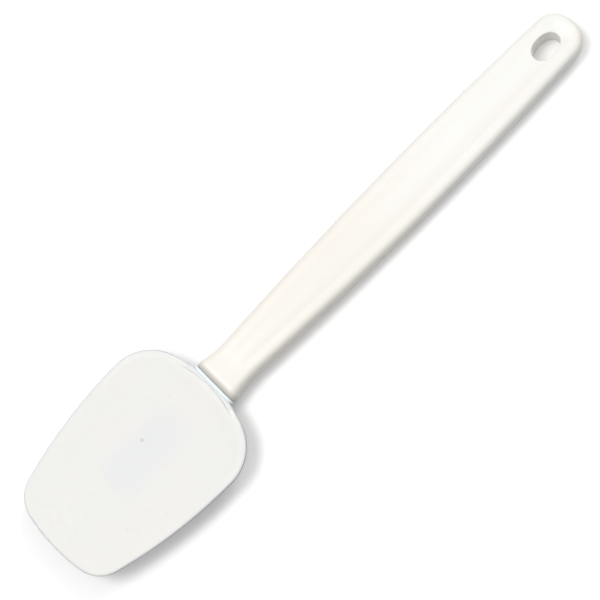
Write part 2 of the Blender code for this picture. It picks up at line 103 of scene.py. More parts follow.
def make_piece(name, patches):
    """One mesh from patches of quads, each a grid of points and whether its rows are closed.

    Points that coincide are merged, so patches that share an edge become one skin and a row
    that is a single point becomes a pole, and then every face is turned outwards.
    """
    points = []
    faces = []
    start = 0
    for grid, closed in patches:
        rows, columns, _ = grid.shape
        index = np.arange(rows * columns).reshape(rows, columns) + start
        if closed:
            index = np.hstack((index, index[:, :1]))
        corners = (index[:-1, :-1], index[:-1, 1:], index[1:, 1:], index[1:, :-1])
        faces.append(np.stack(corners, axis=-1).reshape(-1, 4))
        points.append(grid.reshape(-1, 3))
        start += rows * columns
    mesh = bpy.data.meshes.new(name)
    mesh.from_pydata(np.vstack(points).tolist(), [], np.vstack(faces).tolist())
    skin = bmesh.new()
    skin.from_mesh(mesh)
    bmesh.ops.remove_doubles(skin, verts=skin.verts, dist=WELD)
    bmesh.ops.recalc_face_normals(skin, faces=skin.faces)
    skin.to_mesh(mesh)
    skin.free()
    mesh.shade_smooth()
    mesh.set_sharp_from_angle(angle=SHARP_ANGLE)
    return add_object(name, mesh)


def as_points(x, y, z):
    """Points from arrays of their coordinates, spread to one shape."""
    return np.stack(np.broadcast_arrays(x, y, z), axis=-1)


def cap_to_centre(ring):
    """A flat cap: rows that shrink evenly from a ring to the mean of its points."""
    share = np.linspace(0.0, 1.0, CAP_ROWS)[:, None, None]
    return ring[None] * (1 - share) + ring.mean(axis=0) * share


def rib_depth(x):
    """How deep the rib reaches below the core's axis, less by a straight line towards the tip."""
    share = (RIB_START_X - x) / (RIB_START_X - PADDLE_END_X - PADDLE_END_ROUND)
    return ROOT_HALF_HEIGHT + (RIB_END_DEPTH - ROOT_HALF_HEIGHT) * share


def core_rings(stations):
    """Rounded rectangles over the core's axis, one for each station.

    A point is the corner's centre, plus or minus half the width and height less the radius,
    plus the radius times the cosine and sine of the turn. Along the bottom, the points drop
    by the rib's depth below the paddle times the rib's own profile.
    """
    x, half_width, half_height, radius, middle = (column[:, None] for column in stations.T)
    turn = np.linspace(0, math.pi / 2, CORNER_STEPS + 1)
    turn = np.concatenate([turn + quarter * math.pi / 2 for quarter in range(4)])
    side = np.repeat((1, -1, -1, 1), CORNER_STEPS + 1)
    rise = np.repeat((1, 1, -1, -1), CORNER_STEPS + 1)
    y = side * (half_width - radius) + radius * np.cos(turn)
    z = rise * (half_height - radius) + radius * np.sin(turn)
    depth = np.where(x < ROOT_X, np.maximum(rib_depth(x) - half_height + middle, 0.0), 0.0)
    rib_y = np.broadcast_to(RIB_POINTS, (len(stations), len(RIB_POINTS)))
    rib_z = -half_height - depth * RIB_SHARES
    before = 3 * (CORNER_STEPS + 1)
    y = np.hstack((y[:, :before], rib_y, y[:, before:]))
    z = np.hstack((z[:, :before], rib_z, z[:, before:]))
    return as_points(x, y, AXIS_HEIGHT + middle + z)


def paddle_stations():
    """Stations of the paddle: a root that tapers to it, its blade and its round end.

    The top is level, so the middle rises as the root thins from below. The round end's width
    shrinks by its radius times one less the cosine of a turn whose sine gives the distance
    along, and the last bit thins by a circular nose.
    """
    root_end = ROOT_X - ROOT_LENGTH
    round_start = PADDLE_END_X + PADDLE_END_ROUND
    x = np.concatenate((
        ROOT_X - ROOT_LENGTH * np.linspace(0, 1, ROOT_STATIONS),
        np.linspace(root_end, round_start, BLADE_STATIONS)[1:-1],
        PADDLE_END_X + PADDLE_END_ROUND * (1 - np.sin(np.linspace(0, math.pi / 2, END_STATIONS))),
    ))
    x = np.minimum(x, FLANGE_END_X)
    past = np.clip((round_start - x) / PADDLE_END_ROUND, 0, 1)
    nose = np.clip(1 - (x - PADDLE_END_X) / PADDLE_NOSE_LENGTH, 0, 1)
    taper = np.clip((ROOT_X - x) / ROOT_LENGTH, 0, 1)
    half_width = PADDLE_HALF_WIDTH - PADDLE_END_ROUND * (1 - np.sqrt(1 - past**2))
    half_height = ROOT_HALF_HEIGHT + (PADDLE_HALF_THICKNESS - ROOT_HALF_HEIGHT) * taper
    middle = ROOT_HALF_HEIGHT - half_height
    half_height = half_height - PADDLE_NOSE_DROP * (1 - np.sqrt(1 - nose**2))
    radius = np.minimum(PADDLE_CORNER_RADIUS, PADDLE_CORNER_LIMIT * half_height)
    return np.stack((x, half_width, half_height, radius, middle), axis=-1)


shank_stations = np.pad(SHANK_AND_FLANGE, ((0, 0), (0, 1)))
core_skin = core_rings(np.vstack((shank_stations, paddle_stations())))
core = make_piece("core_insert", [
    (core_skin, True),
    (cap_to_centre(core_skin[0]), True),
    (cap_to_centre(core_skin[-1]), True),
])


def set_inputs(tree, node, inputs):
    """Gives a node's inputs their values, and links those that are given as sockets."""
    for name, value in inputs.items():
        if isinstance(value, bpy.types.NodeSocket):
            tree.links.new(value, node.inputs[name])
        else:
            node.inputs[name].default_value = value


def add_node(tree, kind, inputs=None, **settings):
    """A shader node with its settings and its inputs."""
    made = tree.nodes.new(kind)
    for name, value in settings.items():
        setattr(made, name, value)
    set_inputs(tree, made, inputs or {})
    return made


def math_node(tree, operation, first, second=0.0, clamp=False):
    """The output of a Math node on two numbers or sockets."""
    settings = {"operation": operation, "use_clamp": clamp}
    return add_node(tree, "ShaderNodeMath", {0: first, 1: second}, **settings).outputs[0]


def noise_node(tree, vector, scale, detail, roughness):
    """The value of a noise whose features are about 1 / scale metres wide."""
    inputs = {"Vector": vector, "Scale": scale, "Detail": detail, "Roughness": roughness}
    return add_node(tree, "ShaderNodeTexNoise", inputs).outputs["Fac"]


def span_node(tree, value, low, high, low_out=0.0, high_out=1.0):
    """Maps low to high smoothly onto low_out to high_out, held at both ends."""
    inputs = {"Value": value, "From Min": low, "From Max": high}
    inputs.update({"To Min": low_out, "To Max": high_out})
    made = add_node(tree, "ShaderNodeMapRange", inputs, interpolation_type="SMOOTHSTEP")
    return made.outputs["Result"]


def mix_node(tree, share, first, second):
    """The output of a colour mix of two colours or sockets.

    A Mix node has its share in input 0, its two colours in 6 and 7 and their mix in output 2.
    """
    inputs = {0: share}
    for number, colour in ((6, first), (7, second)):
        is_socket = isinstance(colour, bpy.types.NodeSocket)
        inputs[number] = colour if is_socket else (*colour, 1.0)
    return add_node(tree, "ShaderNodeMix", inputs, data_type="RGBA").outputs[2]


def new_group(name, numbers, results):
    """An empty shader node group that takes a vector and named numbers and gives numbers."""
    group = bpy.data.node_groups.new(name, "ShaderNodeTree")
    sockets = [("Vector", "INPUT", "NodeSocketVector")]
    sockets += [(label, "INPUT", "NodeSocketFloat") for label in numbers]
    sockets += [(label, "OUTPUT", "NodeSocketFloat") for label in results]
    for label, way, kind in sockets:
        group.interface.new_socket(label, in_out=way, socket_type=kind)
    return group, group.nodes.new("NodeGroupInput").outputs, group.nodes.new("NodeGroupOutput")


# A noise is its scale, detail and roughness. A span is its low and high value and the shares
# that they give, where those aren't 0 and 1.
GRAIN_DETAIL = (4.0, 0.6)
GRAIN_SPAN = (0.3, 0.7)
SWELL_NOISE = (95.0, 2.0, 0.4)
CLOUD_NOISE = (42.0, 3.0, 0.55)
CLOUD_SPAN = (0.36, 0.64)
SCUFF_TURN = (0.0, 0.0, math.radians(17))
SCUFF_STRETCH = (0.06, 1.0, 1.0)
SCUFF_NOISE = (2400.0, 2.0, 0.5)
SCUFF_SPAN = (0.64, 0.74)
PATCH_NOISE = (120.0, 2.0, 0.5)
PATCH_SPAN = (0.5, 0.66)
SPECK_CELLS = 150.0
SPECK_CHANCE = (0.86, 0.9)
SPECK_EDGE = (0.03, 0.055, 1.0, 0.0)


def make_mould_grain():
    """Moulded skin: a fine satin grain, slow swells of the surface and soft tint clouds."""
    results = ("Height", "Grain", "Cloud")
    group, given, result = new_group("mould_grain", ("Grain Scale", "Swell"), results)
    grain = noise_node(group, given["Vector"], given["Grain Scale"], *GRAIN_DETAIL)
    swell = noise_node(group, given["Vector"], *SWELL_NOISE)
    cloud = noise_node(group, given["Vector"], *CLOUD_NOISE)
    height = math_node(group, "ADD", grain, math_node(group, "MULTIPLY", swell, given["Swell"]))
    cloud = span_node(group, cloud, *CLOUD_SPAN)
    set_inputs(group, result, {"Height": height, "Grain": grain, "Cloud": cloud})
    return group


def make_light_wear():
    """Use marks: sparse hairline scuffs along the piece, and tiny dust specks.

    A scuff is a stretched noise where a slower noise lets it through, and a speck is the
    middle of a cell, in the few cells whose random colour is high enough.
    """
    group, given, result = new_group("light_wear", ("Scuffs",), ("Scuff", "Speck"))
    inputs = {"Vector": given["Vector"], "Rotation": SCUFF_TURN, "Scale": SCUFF_STRETCH}
    stretched = add_node(group, "ShaderNodeMapping", inputs).outputs[0]
    hairs = span_node(group, noise_node(group, stretched, *SCUFF_NOISE), *SCUFF_SPAN)
    patches = noise_node(group, given["Vector"], *PATCH_NOISE)
    scuff = math_node(group, "MULTIPLY", hairs, span_node(group, patches, *PATCH_SPAN))
    scuff = math_node(group, "MULTIPLY", scuff, given["Scuffs"])
    inputs = {"Vector": given["Vector"], "Scale": SPECK_CELLS}
    cells = add_node(group, "ShaderNodeTexVoronoi", inputs).outputs
    chance = add_node(group, "ShaderNodeSeparateColor", {"Color": cells["Color"]}).outputs[0]
    dot = span_node(group, cells["Distance"], *SPECK_EDGE)
    speck = math_node(group, "MULTIPLY", dot, span_node(group, chance, *SPECK_CHANCE))
    set_inputs(group, result, {"Scuff": scuff, "Speck": speck})
    return group


mould_grain = make_mould_grain()
light_wear = make_light_wear()


def new_material(name):
    """A material with its node tree, its Principled shader and its object coordinates."""
    material = bpy.data.materials.new(name)
    material.use_nodes = True
    tree = material.node_tree
    place = tree.nodes.new("ShaderNodeTexCoord").outputs["Object"]
    return material, tree, tree.nodes["Principled BSDF"], place


def add_group(tree, group, place, numbers):
    """The outputs of a node group placed in a material, with its vector and its numbers."""
    inputs = {"Vector": place, **numbers}
    return add_node(tree, "ShaderNodeGroup", inputs, node_tree=group).outputs


def link_surface(tree, shader, colour, roughness, height, bump):
    """Links a colour, a roughness and, through a Bump node, a height to the shader."""
    inputs = {"Height": height, "Distance": bump[0], "Strength": bump[1]}
    normal = add_node(tree, "ShaderNodeBump", inputs).outputs["Normal"]
    set_inputs(tree, shader, {"Base Color": colour, "Roughness": roughness, "Normal": normal})


CORE_BLUE = (0.80, 0.895, 0.93)
CORE_PALE = (0.86, 0.925, 0.95)
CORE_GRAIN = {"Grain Scale": 3000.0, "Swell": 0.2}
CORE_ROUGHNESS = (0.4, 0.5)
CORE_BUMP = (0.02 * MM, 0.6)


def make_core_material():
    """Matt bluish-white plastic, a little paler in clouds, with a fine grain."""
    material, tree, shader, place = new_material("core_matt_plastic")
    grain = add_group(tree, mould_grain, place, CORE_GRAIN)
    colour = mix_node(tree, grain["Cloud"], CORE_BLUE, CORE_PALE)
    rough = span_node(tree, grain["Grain"], *GRAIN_SPAN, *CORE_ROUGHNESS)
    link_surface(tree, shader, colour, rough, grain["Height"], CORE_BUMP)
    return material


core.data.materials.append(make_core_material())
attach(core, "grip")
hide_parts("core")

# Handle
# One solid moulding of cream-white satin plastic, with a flared mouth that the core's shank
# is bonded into, a shallow valley inside its long edges, and an oval hanging hole moulded
# through the round butt.
MOUTH_X = -53.5 * MM
HANDLE_LENGTH = 193.5 * MM
MOUTH_HALF_WIDTH = 10.45 * MM
MOUTH_HALF_THICKNESS = 5.9 * MM
LIP_LENGTH = 3.2 * MM
LIP_DROP = 2.4 * MM
LIP_SIDE_DROP = 0.8 * MM
NECK_FROM_MOUTH = 12.5 * MM
NECK_HALF_WIDTH = 8.8 * MM
NECK_HALF_THICKNESS = 5.2 * MM
FLARE_POWER = 1.8
BELLY_FROM_BUTT = 82.5 * MM
BELLY_HALF_WIDTH = 11.95 * MM
GRIP_HALF_THICKNESS = 5.0 * MM
LEVEL_FROM_NECK = 87.5 * MM
BUTT_HALF_WIDTH = 10.45 * MM
BUTT_ROUND_LENGTH = 10.0 * MM
BUTT_SQUARENESS = 2.3
EDGE_ROUND_WIDTH = 4.4 * MM
EDGE_SQUARENESS = 2.0
TOP_ROUND_WIDTH = 3.8 * MM
TOP_SQUARENESS = 3.0
VALLEY_INSET = 5.4 * MM
VALLEY_HALF_WIDTH = 1.3 * MM
VALLEY_REACH = 1.2
VALLEY_DEPTH = 0.12 * MM
DISH_DEPTH = 0.35 * MM
DISH_START = HANDLE_LENGTH - 12.0 * MM
DISH_RUN = 6.0 * MM
PANEL_CROWN = 0.35 * MM
SOCKET_HALF_WIDTH = 6.6 * MM
SOCKET_HALF_HEIGHT = 3.0 * MM
SOCKET_SQUARENESS = 6.0
SOCKET_END_X = -13.2 * MM
HOLE_FROM_BUTT = 14.6 * MM
HOLE_HALF_LENGTH = 5.8 * MM
HOLE_HALF_WIDTH = 4.0 * MM
HOLE_SQUARENESS = 2.2
HOLE_DRAFT = 0.35 * MM
HOLE_EDGE_RADIUS = 0.6 * MM
BUTT_START = HANDLE_LENGTH - BUTT_ROUND_LENGTH
BUTT_PATCH_START = 167.5 * MM
EDGE_POINTS = 15
VALLEY_POINTS = 9
PANEL_POINTS = 9
LIP_RINGS = 10
FLARE_RINGS = 14
GRIP_RINGS = 70
MOUTH_ROWS = 5
SIDE_POINTS = 18
ROUND_POINTS = 65
BUTT_ROWS = 27
HOLE_EDGE_ROWS = 9
HOLE_DRAFT_ROWS = 4
TINY = 1e-9


def handle_half_width(s):
    """Half the handle's width at distance s from its mouth, up to where the butt turns round.

    The flare is a power of the distance left to the neck, the grip swells from the neck to
    the belly by a quarter sine, and from there it draws in by a parabola. The lip at the
    mouth rolls in by a quarter ellipse.
    """
    left = np.clip(1 - s / NECK_FROM_MOUTH, 0, 1)
    flare = NECK_HALF_WIDTH + (MOUTH_HALF_WIDTH - NECK_HALF_WIDTH) * left**FLARE_POWER
    belly = HANDLE_LENGTH - BELLY_FROM_BUTT
    rising = np.clip((s - NECK_FROM_MOUTH) / (belly - NECK_FROM_MOUTH), 0, 1)
    swell = (BELLY_HALF_WIDTH - NECK_HALF_WIDTH) * np.sin(rising * math.pi / 2)
    falling = np.clip((s - belly) / (BUTT_START - belly), 0, 1)
    roll = np.clip(1 - s / LIP_LENGTH, 0, 1)
    lip = LIP_SIDE_DROP * (1 - np.sqrt(1 - roll**2))
    return flare + swell - lip - (BELLY_HALF_WIDTH - BUTT_HALF_WIDTH) * falling**2


def handle_inset(s, y):
    """How far inside the outline a point lies, seen from above.

    On the grip it is half the width less the distance from the middle line. At the butt it is
    measured along the ray from the start of the rounding to the superellipse.
    """
    along = np.clip((s - BUTT_START) / BUTT_ROUND_LENGTH, 0, None)
    across = np.abs(y) / BUTT_HALF_WIDTH
    gauge = (along**BUTT_SQUARENESS + across**BUTT_SQUARENESS) ** (1 / BUTT_SQUARENESS)
    reach = np.hypot(np.clip(s - BUTT_START, 0, None), y)
    rounded = reach / np.maximum(gauge, TINY) - reach
    return np.maximum(np.where(s > BUTT_START, rounded, handle_half_width(s) - np.abs(y)), 0.0)


def handle_half_thickness(s):
    """Half the thickness: it eases from the mouth to the neck and on to the grip.

    The lip at the mouth rolls in by a quarter ellipse.
    """
    flare = (MOUTH_HALF_THICKNESS - NECK_HALF_THICKNESS) * (1 - ease(s / NECK_FROM_MOUTH))
    roll = np.clip(1 - s / LIP_LENGTH, 0, 1)
    level = ease((s - NECK_FROM_MOUTH) / LEVEL_FROM_NECK)
    body = NECK_HALF_THICKNESS + (GRIP_HALF_THICKNESS - NECK_HALF_THICKNESS) * level
    return body + flare - LIP_DROP * (1 - np.sqrt(1 - roll**2))


def handle_middle(s):
    """Height of the handle's middle plane, from the core's axis down to half the grip."""
    level = ease((s - NECK_FROM_MOUTH) / LEVEL_FROM_NECK)
    return AXIS_HEIGHT + (GRIP_HALF_THICKNESS - AXIS_HEIGHT) * level


def handle_face(s, y, upper):
    """Height of the upper or lower face.

    The long edge is a quarter ellipse below and a squarer superellipse above. The valley
    inside it is a bell curve that fades out towards the mouth and deepens to a dish between
    the hole and the end of the butt. The upper face swells between the valleys by a quarter
    sine.
    """
    inset = handle_inset(s, y)
    width = TOP_ROUND_WIDTH if upper else EDGE_ROUND_WIDTH
    squareness = TOP_SQUARENESS if upper else EDGE_SQUARENESS
    out = 1 - np.clip(inset / width, 0, 1)
    height = handle_half_thickness(s) * (1 - out**squareness) ** (1 / squareness)
    fade = ease((s - NECK_FROM_MOUTH / 2) / NECK_FROM_MOUTH)
    depth = fade * VALLEY_DEPTH + DISH_DEPTH * ease((s - DISH_START) / DISH_RUN)
    height = height - depth * np.exp(-(((inset - VALLEY_INSET) / VALLEY_HALF_WIDTH) ** 2))
    if upper:
        panel = np.clip((inset - VALLEY_INSET) / (BELLY_HALF_WIDTH - VALLEY_INSET), 0, 1)
        height = height + fade * PANEL_CROWN * np.sin(panel * math.pi / 2)
        return handle_middle(s) + height
    return handle_middle(s) - height


def handle_across(half_width):
    """Distances across a ring's face from one long edge to the other, for each half width.

    Measured in from an edge, they go by one less the cosine of a turn where it is rounded,
    and are even over the valley and over the panel inside it.
    """
    turn = np.linspace(0, math.pi / 2, EDGE_POINTS)
    valley_end = VALLEY_INSET + VALLEY_REACH * VALLEY_HALF_WIDTH
    fixed = np.concatenate((
        EDGE_ROUND_WIDTH * (1 - np.cos(turn)),
        np.linspace(EDGE_ROUND_WIDTH, valley_end, VALLEY_POINTS)[1:],
    ))
    panel = np.linspace(0, 1, PANEL_POINTS)[1:]
    fixed = np.broadcast_to(fixed, (len(half_width), len(fixed)))
    inner = valley_end + (half_width[:, None] - valley_end) * panel
    half = half_width[:, None] - np.hstack((fixed, inner))
    return np.hstack((half, -half[:, -2::-1]))


def superellipse_scale(across, up, half_across, half_up, squareness):
    """The factor that brings a point along its ray from the centre onto a superellipse."""
    gauge = (np.abs(across) / half_across) ** squareness + (np.abs(up) / half_up) ** squareness
    return gauge ** (-1 / squareness)


def handle_tube():
    """The grip from the mouth to the butt patches, as closed rings: upper face, then lower."""
    turn = np.linspace(0, math.pi / 2, LIP_RINGS)
    s = np.concatenate((
        LIP_LENGTH * (1 - np.cos(turn)),
        np.linspace(LIP_LENGTH, NECK_FROM_MOUTH, FLARE_RINGS)[1:],
        np.linspace(NECK_FROM_MOUTH, BUTT_PATCH_START, GRIP_RINGS)[1:],
    ))
    y = handle_across(handle_half_width(s))
    s = s[:, None]
    upper = as_points(MOUTH_X + s, y, handle_face(s, y, True))
    lower = as_points(MOUTH_X + s, y, handle_face(s, y, False))
    return np.concatenate((upper, lower[:, -2:0:-1]), axis=1)


def socket_rings(mouth):
    """The mouth's flat face and the blind socket: the mouth's ring brought onto the socket."""
    y = mouth[:, 1]
    z = mouth[:, 2] - AXIS_HEIGHT
    scale = superellipse_scale(y, z, SOCKET_HALF_WIDTH, SOCKET_HALF_HEIGHT, SOCKET_SQUARENESS)
    inner = as_points(mouth[:, 0], y * scale, AXIS_HEIGHT + z * scale)
    deep = inner.copy()
    deep[:, 0] = SOCKET_END_X
    share = np.linspace(0, 1, MOUTH_ROWS)[:, None, None]
    return np.concatenate((mouth + (inner - mouth) * share, deep[None]), axis=0)


def butt_loops():
    """The closed line round the butt seen from above, and the direction of each of its points.

    It runs across the cut where the rings end, along one side, round the butt's superellipse
    and back along the other side.
    """
    cut_y = handle_across(handle_half_width(np.array([BUTT_PATCH_START])))[0]
    side_s = np.linspace(BUTT_PATCH_START, BUTT_START, SIDE_POINTS)[1:]
    side_y = handle_half_width(side_s)
    turn = np.linspace(0, math.pi, ROUND_POINTS)[1:-1]
    power = 2 / BUTT_SQUARENESS
    round_s = BUTT_START + BUTT_ROUND_LENGTH * np.sin(turn) ** power
    round_y = -BUTT_HALF_WIDTH * np.sign(np.cos(turn)) * np.abs(np.cos(turn)) ** power
    s = np.concatenate((np.full(len(cut_y), BUTT_PATCH_START), side_s, round_s, side_s[::-1]))
    y = np.concatenate((cut_y, -side_y, round_y, side_y[::-1]))
    return s, y


def hole_outline(s, y, widening):
    """The hole's superellipse, widened, at the directions of the points s and y."""
    along = s - (HANDLE_LENGTH - HOLE_FROM_BUTT)
    half_length = HOLE_HALF_LENGTH + widening
    half_width = HOLE_HALF_WIDTH + widening
    scale = superellipse_scale(along, y, half_length, half_width, HOLE_SQUARENESS)
    return s - along * (1 - scale), y * scale


def butt_patch(upper):
    """A face of the butt between the hole's rim and the outline.

    Rows go from the rim to the outline by the sine of a quarter turn, so that they are
    closest where the edge rounds off.
    """
    outer_s, outer_y = butt_loops()
    inner_s, inner_y = hole_outline(outer_s, outer_y, HOLE_DRAFT + HOLE_EDGE_RADIUS)
    share = np.sin(np.linspace(0, math.pi / 2, BUTT_ROWS))[:, None]
    s = inner_s + (outer_s - inner_s) * share
    y = inner_y + (outer_y - inner_y) * share
    return as_points(MOUTH_X + s, y, handle_face(s, y, upper))


def hole_wall(upper_rim, lower_rim):
    """The hole's wall: a rounded edge at each face, and drafts that meet at a parting line.

    A rounded edge is a quarter circle: it widens by its radius less the sine of the turn, and
    drops by one less the cosine.
    """
    outer_s, outer_y = butt_loops()
    turn = np.linspace(0, math.pi / 2, HOLE_EDGE_ROWS)[:, None]
    rounding = HOLE_DRAFT + HOLE_EDGE_RADIUS * (1 - np.sin(turn))
    drop = HOLE_EDGE_RADIUS * (1 - np.cos(turn))
    straight = np.linspace(1, 0, HOLE_DRAFT_ROWS)[1:, None]
    widening = np.concatenate((rounding, HOLE_DRAFT * straight))
    widening = np.concatenate((widening, widening[-2::-1]))
    middle = (upper_rim + lower_rim) / 2
    upper_wall = middle + (upper_rim - HOLE_EDGE_RADIUS - middle) * straight
    lower_wall = middle + (lower_rim + HOLE_EDGE_RADIUS - middle) * straight
    upper = np.concatenate((upper_rim - drop, upper_wall))
    lower = np.concatenate((lower_rim + drop, lower_wall))
    s, y = hole_outline(outer_s, outer_y, widening)
    return as_points(MOUTH_X + s, y, np.concatenate((upper, lower[-2::-1])))


handle_skin = handle_tube()
handle_socket = socket_rings(handle_skin[0])
butt_upper = butt_patch(True)
butt_lower = butt_patch(False)
handle = make_piece("handle_moulding", [
    (handle_skin, True),
    (handle_socket, True),
    (cap_to_centre(handle_socket[-1]), True),
    (butt_upper, True),
    (butt_lower, True),
    (hole_wall(butt_upper[0, :, 2], butt_lower[0, :, 2]), True),
])

HANDLE_CREAM = (0.908, 0.875, 0.81)
HANDLE_PALE = (0.935, 0.93, 0.89)
HANDLE_WARM = (0.945, 0.885, 0.80)
HANDLE_SPECK = (0.62, 0.58, 0.50)
HANDLE_SPECK_SHARE = 0.25
# Painted shade: a darker colour in the crease where the lip rolls in at the mouth.
LIP_SHADE = (0.42, 0.39, 0.34)
LIP_SHADE_SPAN = (MOUTH_X, MOUTH_X + LIP_LENGTH, 0.55, 0.0)
PALE_X = (15.0 * MM, 100.0 * MM)
CLOUD_SHARE = 0.2
STREAK_STRETCH = (0.05, 1.0, 0.3)
STREAK_NOISE = (190.0, 3.0, 0.6)
STREAK_SPAN = (0.48, 0.68, 0.0, 0.4)
HANDLE_GRAIN = {"Grain Scale": 2600.0, "Swell": 0.5}
HANDLE_WEAR = {"Scuffs": 0.5}
HANDLE_ROUGHNESS = (0.32, 0.42, 0.2)
HANDLE_BUMP = (0.02 * MM, 0.5)


def vector_node(tree, operation, first, second=(0.0, 0.0, 0.0)):
    """The output of a Vector Math node: a number for a length or a distance, else a vector."""
    made = add_node(tree, "ShaderNodeVectorMath", {0: first, 1: second}, operation=operation)
    return made.outputs["Value" if operation in ("LENGTH", "DISTANCE") else "Vector"]


def worn_surface(tree, grain, wear, low, high, scuffed):
    """The roughness, low to high by the grain and more where scuffed, and the height."""
    rough = span_node(tree, grain["Grain"], *GRAIN_SPAN, low, high)
    scuffed = math_node(tree, "MULTIPLY", wear["Scuff"], scuffed)
    height = math_node(tree, "SUBTRACT", grain["Height"], wear["Scuff"])
    return math_node(tree, "ADD", rough, scuffed), height


def make_handle_material():
    """Cream-white satin plastic with clouds, warm flow streaks, a fine grain, scuffs and specks.

    It is paler towards the butt. The crease where the lip rolls in to the core is darkened by
    painted shade.
    """
    material, tree, shader, place = new_material("handle_satin_plastic")
    grain = add_group(tree, mould_grain, place, HANDLE_GRAIN)
    wear = add_group(tree, light_wear, place, HANDLE_WEAR)
    along = add_node(tree, "ShaderNodeSeparateXYZ", {0: place}).outputs["X"]
    cloud = math_node(tree, "MULTIPLY", grain["Cloud"], CLOUD_SHARE)
    pale = math_node(tree, "ADD", span_node(tree, along, *PALE_X), cloud, clamp=True)
    colour = mix_node(tree, pale, HANDLE_CREAM, HANDLE_PALE)
    streak = noise_node(tree, vector_node(tree, "MULTIPLY", place, STREAK_STRETCH), *STREAK_NOISE)
    colour = mix_node(tree, span_node(tree, streak, *STREAK_SPAN), colour, HANDLE_WARM)
    speck = math_node(tree, "MULTIPLY", wear["Speck"], HANDLE_SPECK_SHARE)
    colour = mix_node(tree, speck, colour, HANDLE_SPECK)
    # Painted shade in the lip's crease at the mouth.
    colour = mix_node(tree, span_node(tree, along, *LIP_SHADE_SPAN), colour, LIP_SHADE)
    rough, height = worn_surface(tree, grain, wear, *HANDLE_ROUGHNESS)
    link_surface(tree, shader, colour, rough, height, HANDLE_BUMP)
    return material


handle.data.materials.append(make_handle_material())
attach(handle, "grip")
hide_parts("handle")

# Head
# One moulding of white, slightly translucent silicone: a shallow scoop with a thin blade, a
# thick spine under its middle and a blind pocket. It grips the core's paddle, which shows
# through the floor of the bowl, and it pulls off towards the tip.
COLLAR_X = -54.9 * MM
HEAD_LENGTH = 85.1 * MM
TIP_X = COLLAR_X - HEAD_LENGTH
HEAD_HALF_WIDTH = 32.4 * MM
COLLAR_HALF_WIDTH = 10.45 * MM
COLLAR_HALF_HEIGHT = 5.0 * MM
BACK_SWEEP = math.radians(14)
SHOULDER_RADIUS = 19.0 * MM
SIDE_RADIUS = 200.0 * MM
TIP_CORNER_RADIUS = 13.5 * MM
TIP_RADIUS = 78.0 * MM
LIP_RADIUS = 0.9 * MM
CORNER_LIP_RADIUS = 0.25 * MM
CORNER_TURN_LENGTH = 1.5 * MM
CORNER_LIP_LENGTH = 7.0 * MM
LEDGE_LENGTH = 0.6 * MM
LEDGE_WIDENING = 1.2 * MM
LEDGE_STEP = 0.25 * MM
LEDGE_DROP = 0.8 * MM
LEDGE_FADE = (10.0 * MM, 16.0 * MM)
BLADE_THICKNESS = 2.0 * MM
TIP_THICKNESS = 1.5 * MM
FLOOR_HEIGHT = 12.0 * MM
RIM_HEIGHT = 13.0 * MM
BACK_HEIGHT = 12.2 * MM
TIP_HEIGHT = 13.2 * MM
FLOOR_HALF_WIDTH = 8.0 * MM
FLOOR_RUN = 34.0 * MM
RIM_RUN = 46.0 * MM
BACK_RIM_RUN = 24.0 * MM
BACK_WALL_LENGTH = 10.0 * MM
ROLL_LENGTH = 5.5 * MM
BACK_ROLL = 0.38 * MM
SIDE_ROLL = 0.35 * MM
SIDE_ROLL_START = 8.0 * MM
SIDE_ROLL_RUN = 24.0 * MM
BACK_BLEND = 1.0 * MM
BACK_FADE = 0.9
SPINE_HALF_WIDTH = 5.0 * MM
SPINE_FADE_WIDTH = 9.0 * MM
SPINE_START = 8.0 * MM
SPINE_RUN = 40.0 * MM
SPINE_MOUTH_LENGTH = 14.0 * MM
ROOT_FLAT_HALF_WIDTH = 7.55 * MM
FIT_GAP = 0.3 * MM
POCKET_END_GAP = 0.6 * MM
GROOVE_HALF_WIDTH = 2.1 * MM
GROOVE_SIDE = 0.3 * MM
GROOVE_FROM = 0.9
SIDE_STEPS = 170
ACROSS_STEPS = 120
LIP_STEPS = 6
COLLAR_ROWS = 3
LONG_ARC_STEPS = 400
SHORT_ARC_STEPS = 200

beside_shoulder = HEAD_HALF_WIDTH - SHOULDER_RADIUS
lean = (beside_shoulder - COLLAR_HALF_WIDTH) * math.sin(BACK_SWEEP)
widest = HEAD_LENGTH - (SHOULDER_RADIUS + lean) / math.cos(BACK_SWEEP)


def head_arc(centre, radius, start, end, steps):
    """Points on an arc: the centre plus the radius times the cosine and sine of the angle."""
    angle = np.linspace(start, end, steps + 1)
    x = centre[0] + radius * np.cos(angle)
    return np.stack((x, centre[1] + radius * np.sin(angle)), axis=-1)


def even_points(line, steps):
    """A line through the same places with its points spaced evenly along it."""
    length = np.concatenate(([0.0], np.cumsum(np.hypot(*np.diff(line, axis=0).T))))
    at = np.linspace(0, length[-1], steps + 1)
    return np.stack([np.interp(at, length, column) for column in line.T], axis=-1)


